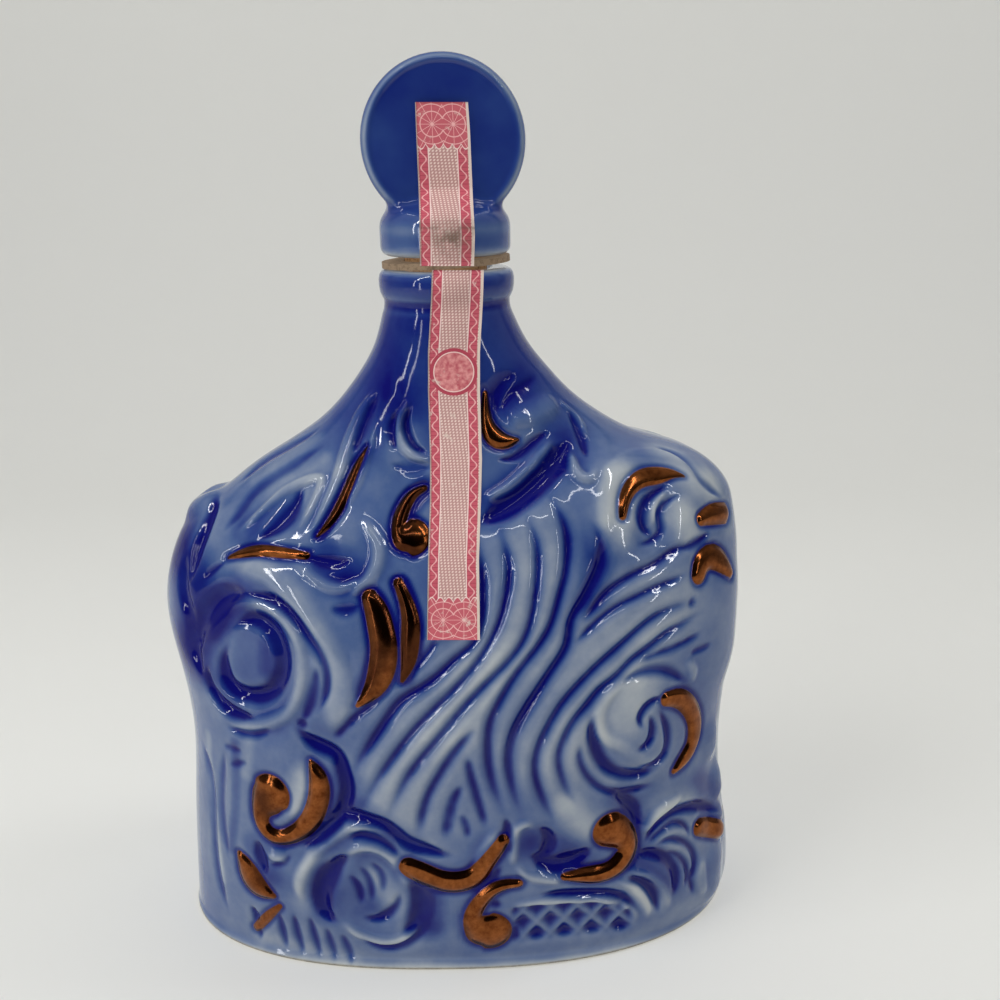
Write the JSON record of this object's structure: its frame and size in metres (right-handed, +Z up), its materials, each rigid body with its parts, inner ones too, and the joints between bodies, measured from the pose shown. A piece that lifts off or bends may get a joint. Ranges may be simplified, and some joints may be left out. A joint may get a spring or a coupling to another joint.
{
  "type": "liquor decanter",
  "caption": "Flattened oval porcelain flask with moulded scroll relief, a round neck and a disc-headed cork stopper that turns and lifts out.",
  "frame": {"origin": "middle of the foot, in the plane that the decanter stands on", "axes": "+Z up through the neck, -Y towards the face that carries the strip, +X towards the high rounded shoulder"},
  "size_m": [0.1524, 0.0856, 0.2198],
  "materials": {
    "body_glaze": "glossy translucent blue glaze with copper lustre on the raised scrolls",
    "stopper_glaze": "glossy deep blue glaze",
    "cork": "natural cork",
    "washer": "pressed cork board",
    "strip_paper": "matt printed paper"
  },
  "bodies": {
    "bottle": {"decanter_body": "body_glaze", "strip_lower": "strip_paper"},
    "washer": {"cork_washer": "washer"},
    "stopper": {"stopper_head": "stopper_glaze", "stopper_cork": "cork", "strip_upper": "strip_paper"}
  },
  "joints": [
    {"name": "stopper_lift", "type": "slide", "parent": "bottle", "child": "washer", "axis": [0, 0, 1], "range_m": [0, 0.06]},
    {"name": "stopper_turn", "type": "hinge", "parent": "washer", "child": "stopper", "pos_m": [0, 0, 0.175], "axis": [0, 0, 1], "continuous": true}
  ]
}
